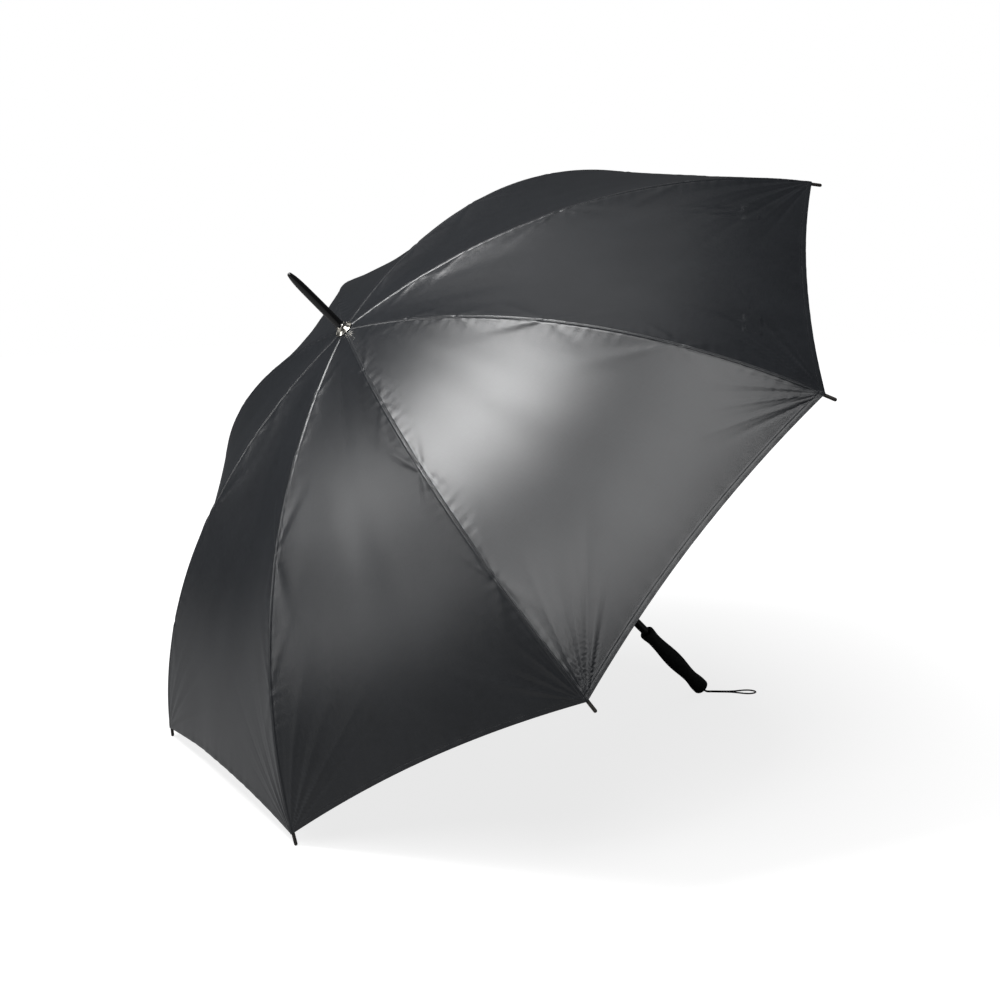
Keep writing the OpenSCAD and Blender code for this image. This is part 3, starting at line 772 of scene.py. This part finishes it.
def crown_piece():
    rim_r, collar_r, rim_z, wall, shaft_r = 0.014, 0.0082, 0.0036, 0.0008, 0.00705
    rise, flare = FERRULE_SEAT - rim_z, rim_r - collar_r
    f = np.linspace(0, 1, 40)
    outside = [(collar_r + flare * (1 - g) ** 2.2, rim_z + rise * g) for g in f[:-1]]
    shoulder = [(collar_r, FERRULE_SEAT - 0.0006), (collar_r - 0.0002, FERRULE_SEAT - 0.0002),
                (collar_r - 0.0006, FERRULE_SEAT)]
    inside = [(collar_r - wall + flare * (1 - g) ** 2.2, rim_z + (rise - wall) * g) for g in f[::-1]]
    rim = arc((rim_r - 0.0002, rim_z + 0.00035), 0.0006, 250, 390, 12)
    bore = [(shaft_r, FERRULE_SEAT), (shaft_r, FERRULE_SEAT - wall)]
    outline = rim + outside[1:] + shoulder + bore + inside
    turned("crown_bell", outline, 128, "crown_metal", "crown_cap", 50)


# share of the grip's length, radius in mm: rim, neck, belly, second neck, flared end
GRIP_STATIONS = [(0, 12.5), (0.13, 10.8), (0.5, 14), (0.8, 11.2), (0.95, 13.5), (1, 13.5)]


def grip_piece():
    top = GRIP_LEN - SHAFT_REACH
    rim_fillet, foot_fillet, bore, plug_r = 0.0025, 0.004, 0.00705, 0.00905
    span = GRIP_LEN - rim_fillet - foot_fillet
    side = []
    for (fa, ra), (fb, rb) in zip(GRIP_STATIONS, GRIP_STATIONS[1:]):
        for k in np.arange(16) / 16:
            r = ra + (rb - ra) * (1 - math.cos(math.pi * k)) / 2
            side.append((r * MM, top - rim_fillet - span * (fa + (fb - fa) * k)))
    rim_r, end_r = GRIP_STATIONS[0][1] * MM, GRIP_STATIONS[-1][1] * MM
    rim = arc((rim_r - rim_fillet, top - rim_fillet), rim_fillet, 90, 0, 9)[:-1]
    foot = arc((end_r - foot_fillet, top - GRIP_LEN + foot_fillet), foot_fillet, 0, -90, 12)
    outline = [(bore, top - 0.0016), (bore + 0.0012, top - 0.0004)] + rim + side + foot + [
        (plug_r + 0.0004, top - GRIP_LEN), (plug_r, top - GRIP_LEN + 0.0004),
        (plug_r, top - GRIP_LEN + 0.0122), (bore, top - GRIP_LEN + 0.0122)]
    turned("foam_grip", outline[::-1], 128, "grip_foam", "grip", 55)


# --------------------------------------------------------- carried-over nodes

def tidy_node(name, material):
    """Keeps a CAD node's shape and gives it smooth shading, crisp edges and its finish."""
    obj = frame["nodes"][name]
    mesh = obj.data
    mesh.materials.clear()
    mesh.materials.append(material)
    if "custom_normal" in mesh.attributes:
        mesh.attributes.remove(mesh.attributes["custom_normal"])
    mesh.polygons.foreach_set("use_smooth", [True] * len(mesh.polygons))
    weld = obj.modifiers.new("weld", "WELD")
    weld.merge_threshold = 0.000002
    split = obj.modifiers.new("crisp", "EDGE_SPLIT")
    split.split_angle = math.radians(32)
    split.use_edge_sharp = False


def finish_frame():
    slots = {part["node"]: part["material_slot"] for part in frame["record"]["subparts"]}
    for name, obj in frame["nodes"].items():
        if not obj.hide_render:
            tidy_node(name, FINISH[slots[name]])


# ------------------------------------------------------------ light and floor

LIGHT_TARGET = (0.05, 0, 0.45)


def area_light(name, direction, distance, size, power):
    data = bpy.data.lights.new(name, "AREA")
    data.shape = "RECTANGLE"
    data.size, data.size_y = size
    data.energy = power
    light = link(bpy.data.objects.new(name, data))
    way = Vector(direction).normalized()
    light.location = Vector(LIGHT_TARGET) + way * distance
    light.rotation_mode = "QUATERNION"
    light.rotation_quaternion = way.to_track_quat("Z", "Y")


FLOOR_RADIUS, FLOOR_SIDES = 5.0, 96


def studio():
    """White background for the camera, a dim fill, five soft lights and the floor."""
    scene = bpy.context.scene
    scene.view_settings.view_transform = "Standard"
    world = bpy.data.worlds.new("studio_white")
    scene.world = world
    world.use_nodes = True
    nodes, links = world.node_tree.nodes, world.node_tree.links
    fill = nodes["Background"]
    fill.inputs["Color"].default_value = (0.97, 0.985, 1, 1)
    fill.inputs["Strength"].default_value = 0.05
    seen = nodes.new("ShaderNodeBackground")
    seen.inputs["Color"].default_value = (1, 1, 1, 1)
    path = nodes.new("ShaderNodeLightPath")
    mix = nodes.new("ShaderNodeMixShader")
    links.new(path.outputs["Is Camera Ray"], mix.inputs[0])
    links.new(fill.outputs[0], mix.inputs[1])
    links.new(seen.outputs[0], mix.inputs[2])
    links.new(mix.outputs[0], nodes["World Output"].inputs["Surface"])

    area_light("key_softbox", (-0.53, 0.03, 0.85), 2.4, (0.95, 0.95), 61)
    area_light("front_softbox", (-0.37, -0.60, 0.71), 3.0, (1.4, 1.4), 34)
    area_light("side_softbox", (-0.86, 0.38, 0.33), 2.6, (0.6, 0.8), 11)
    area_light("low_softbox", (-0.98, 0.12, 0.10), 2.6, (0.9, 0.4), 5)
    area_light("top_softbox", (0.10, 0.42, 0.90), 3.0, (2.0, 1.6), 6)

    turn = np.arange(FLOOR_SIDES) * 2 * math.pi / FLOOR_SIDES
    ring = [(FLOOR_RADIUS * math.cos(a), FLOOR_RADIUS * math.sin(a), 0) for a in turn]
    wedges = [(0, k + 1, (k + 1) % FLOOR_SIDES + 1) for k in range(FLOOR_SIDES)]
    mesh_piece("studio_floor", [(0, 0, 0)] + ring, wedges, floor_material())


# -------------------------------------------------------------------- build

make_camera()
braided_cord()

# each rib's inner and outer cloth piece and its stitches, carried by that rib; the cloth's area is worked out and
# not used
for spoke in range(RIBS):
    for part in ("inner", "outer"):
        body = f"{part}_rib_{spoke + 1}"
        piece, area = canopy_piece(spoke, part)
        stitches = seam_stitches(spoke, part)
        for soft in (piece, stitches):
            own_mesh(soft)
            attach(soft, body)

ferrule_piece()
crown_piece()
grip_piece()
finish_frame()
studio()
